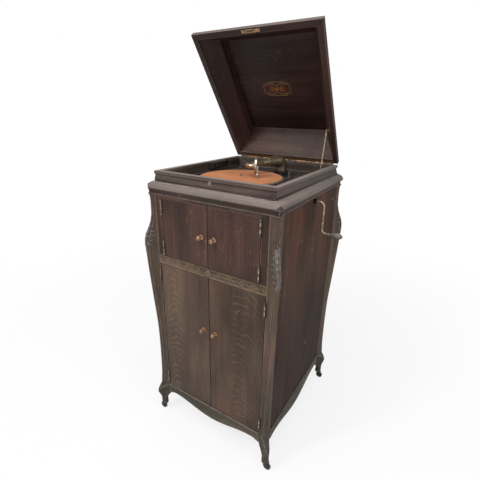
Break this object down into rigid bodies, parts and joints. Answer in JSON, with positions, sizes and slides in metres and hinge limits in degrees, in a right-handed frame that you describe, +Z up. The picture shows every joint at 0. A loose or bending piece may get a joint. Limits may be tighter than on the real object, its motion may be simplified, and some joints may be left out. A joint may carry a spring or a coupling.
{
  "type": "gramophone cabinet",
  "caption": "Floor-standing gramophone cabinet on casters, with swelled carved posts, two pairs of doors, a coved lid on a stay, and its turntable, tonearm, horn and spring motor.",
  "frame": {"origin": "on the floor, under the middle of the whole object's bounding box with the lid open", "axes": "+Z up, the doors face -Y, +X towards the crank's side"},
  "size_m": [0.6486, 0.642, 1.5529],
  "materials": {
    "oak": "dark stained oak, worn satin",
    "dark_oak": "very dark stained oak, satin",
    "inner_wood": "plain oiled wood",
    "brass": "tarnished",
    "nickel": "worn nickel plate",
    "steel": "bare steel",
    "black_iron": "black enamel",
    "felt": "faded rust felt",
    "caster_wheel": "dark, worn bright at the rim"
  },
  "bodies": {
    "cabinet": {"front_posts": "oak", "rear_posts": "oak", "side_panels": "oak", "back_panel": "oak", "front_frame": "oak", "carved_rail": "oak", "aprons": "oak", "cornice": "oak", "top_rim": "oak", "motor_board": "dark_oak", "bottom_board": "inner_wood", "horn_shelf": "inner_wood", "record_rack": "inner_wood", "horn": "inner_wood", "horn_throat": "black_iron", "tonearm_bracket": "black_iron", "needle_box": "black_iron", "escutcheons": "brass", "stay_track": "brass", "motor_frame": "black_iron", "fixed_hinge_leaves": "brass", "hinge_pins": "steel"},
    "upper_left_door_leaf": {"upper_left_door": "oak", "upper_left_knob": "brass", "upper_left_hinges": "brass"},
    "upper_right_door_leaf": {"upper_right_door": "oak", "upper_right_knob": "brass", "upper_right_hinges": "brass"},
    "lower_left_door_leaf": {"lower_left_door": "oak", "lower_left_knob": "brass", "lower_left_hinges": "brass"},
    "lower_right_door_leaf": {"lower_right_door": "oak", "lower_right_knob": "brass", "lower_right_hinges": "brass"},
    "lid": {"lid_boards": "dark_oak", "lid_top_panel": "dark_oak", "lid_fittings": "brass"},
    "stay": {"lid_stay": "brass"},
    "turntable": {"platter": "nickel", "felt": "felt", "spindle": "steel"},
    "tonearm": {"tonearm_tube": "nickel"},
    "reproducer": {"gooseneck": "brass", "soundbox": "nickel"},
    "winding_crank": {"crank": "nickel"},
    "crank_grip": {"crank_handle": "oak"},
    "brake": {"brake_lever": "nickel"},
    "speed_regulator": {"speed_dial": "nickel"},
    "tray": {"needle_tray": "black_iron"},
    "barrel": {"spring_barrel": "brass"},
    "winding_gear": {"winding_wheel": "steel"},
    "fly_ball_governor": {"governor": "brass"},
    "fork_front_left": {"caster_fork_front_left": "black_iron"},
    "wheel_front_left": {"caster_wheel_front_left": "caster_wheel"},
    "fork_front_right": {"caster_fork_front_right": "black_iron"},
    "wheel_front_right": {"caster_wheel_front_right": "caster_wheel"},
    "fork_rear_left": {"caster_fork_rear_left": "black_iron"},
    "wheel_rear_left": {"caster_wheel_rear_left": "caster_wheel"},
    "fork_rear_right": {"caster_fork_rear_right": "black_iron"},
    "wheel_rear_right": {"caster_wheel_rear_right": "caster_wheel"}
  },
  "joints": [
    {"name": "upper_left_door_swing", "type": "hinge", "parent": "cabinet", "child": "upper_left_door_leaf", "pos_m": [-0.23845, -0.29739, 0.895], "axis": [0, 0, -1], "range_deg": [0, 120]},
    {"name": "upper_right_door_swing", "type": "hinge", "parent": "cabinet", "child": "upper_right_door_leaf", "pos_m": [0.15895, -0.29739, 0.895], "axis": [0, 0, 1], "range_deg": [0, 120]},
    {"name": "lower_left_door_swing", "type": "hinge", "parent": "cabinet", "child": "lower_left_door_leaf", "pos_m": [-0.26545, -0.29739, 0.4525], "axis": [0, 0, -1], "range_deg": [0, 120]},
    {"name": "lower_right_door_swing", "type": "hinge", "parent": "cabinet", "child": "lower_right_door_leaf", "pos_m": [0.18595, -0.29739, 0.4525], "axis": [0, 0, 1], "range_deg": [0, 120]},
    {"name": "lid_hinge", "type": "hinge", "parent": "cabinet", "child": "lid", "pos_m": [-0.03975, 0.26361, 1.0923], "axis": [1, 0, 0], "range_deg": [0, 54]},
    {"name": "lid_stay_fold", "type": "hinge", "parent": "lid", "child": "stay", "pos_m": [0.16975, 0.17122, 1.22542], "axis": [1, 0, 0], "range_deg": [-128.93, 0.5]},
    {"name": "turntable_spin", "type": "hinge", "parent": "cabinet", "child": "turntable", "pos_m": [-0.03975, -0.08789, 1.06], "axis": [0, 0, 1], "continuous": true},
    {"name": "tonearm_swing", "type": "hinge", "parent": "cabinet", "child": "tonearm", "pos_m": [0.00525, 0.14111, 1.056], "axis": [0, 0, 1], "range_deg": [-6, 38]},
    {"name": "gooseneck_flip", "type": "hinge", "parent": "tonearm", "child": "reproducer", "pos_m": [-0.02227, -0.02158, 1.108], "axis": [-0.1668, -0.986, 0], "range_deg": [0, 100]},
    {"name": "crank_turn", "type": "hinge", "parent": "cabinet", "child": "winding_crank", "pos_m": [0.20625, -0.00889, 1], "axis": [1, 0, 0], "continuous": true},
    {"name": "crank_grip_turn", "type": "hinge", "parent": "winding_crank", "child": "crank_grip", "pos_m": [0.29725, -0.00889, 0.889], "axis": [1, 0, 0], "continuous": true},
    {"name": "brake_swing", "type": "hinge", "parent": "cabinet", "child": "brake", "pos_m": [0.07225, 0.07311, 1.04], "axis": [0, 0, 1], "range_deg": [0, 25]},
    {"name": "speed_dial_turn", "type": "hinge", "parent": "cabinet", "child": "speed_regulator", "pos_m": [0.13825, -0.22089, 1.04], "axis": [0, 0, 1], "range_deg": [-70, 70]},
    {"name": "needle_tray_swing", "type": "hinge", "parent": "cabinet", "child": "tray", "pos_m": [-0.25275, 0.10411, 1.078], "axis": [0, 0, 1], "range_deg": [0, 35]},
    {"name": "barrel_turn", "type": "hinge", "parent": "cabinet", "child": "barrel", "pos_m": [-0.03975, -0.00889, 0.955], "axis": [0, 0, 1], "continuous": true},
    {"name": "winding_wheel_turn", "type": "hinge", "parent": "cabinet", "child": "winding_gear", "pos_m": [-0.03975, -0.00889, 0.985], "axis": [0, 0, 1], "continuous": true},
    {"name": "governor_spin", "type": "hinge", "parent": "cabinet", "child": "fly_ball_governor", "pos_m": [-0.08001, -0.11403, 0.98], "axis": [0, 0, 1], "continuous": true},
    {"name": "caster_swivel_front_left", "type": "hinge", "parent": "cabinet", "child": "fork_front_left", "pos_m": [-0.30025, -0.29889, 0.038], "axis": [0, 0, 1], "continuous": true},
    {"name": "caster_roll_front_left", "type": "hinge", "parent": "fork_front_left", "child": "wheel_front_left", "pos_m": [-0.30925, -0.29889, 0.015], "axis": [0, 1, 0], "continuous": true},
    {"name": "caster_swivel_front_right", "type": "hinge", "parent": "cabinet", "child": "fork_front_right", "pos_m": [0.22075, -0.29889, 0.038], "axis": [0, 0, 1], "continuous": true},
    {"name": "caster_roll_front_right", "type": "hinge", "parent": "fork_front_right", "child": "wheel_front_right", "pos_m": [0.22975, -0.29889, 0.015], "axis": [0, 1, 0], "continuous": true},
    {"name": "caster_swivel_rear_left", "type": "hinge", "parent": "cabinet", "child": "fork_rear_left", "pos_m": [-0.30025, 0.28111, 0.038], "axis": [0, 0, 1], "continuous": true},
    {"name": "caster_roll_rear_left", "type": "hinge", "parent": "fork_rear_left", "child": "wheel_rear_left", "pos_m": [-0.30925, 0.28111, 0.015], "axis": [0, 1, 0], "continuous": true},
    {"name": "caster_swivel_rear_right", "type": "hinge", "parent": "cabinet", "child": "fork_rear_right", "pos_m": [0.22075, 0.28111, 0.038], "axis": [0, 0, 1], "continuous": true},
    {"name": "caster_roll_rear_right", "type": "hinge", "parent": "fork_rear_right", "child": "wheel_rear_right", "pos_m": [0.22975, 0.28111, 0.015], "axis": [0, 1, 0], "continuous": true}
  ],
  "couplings": [
    {"joint": "lid_stay_fold", "follows": "lid_hinge", "ratio": -2.3784},
    {"joint": "barrel_turn", "follows": "turntable_spin", "ratio": -0.16667},
    {"joint": "governor_spin", "follows": "turntable_spin", "ratio": -7},
    {"joint": "winding_wheel_turn", "follows": "crank_turn", "ratio": 0.26667}
  ]
}
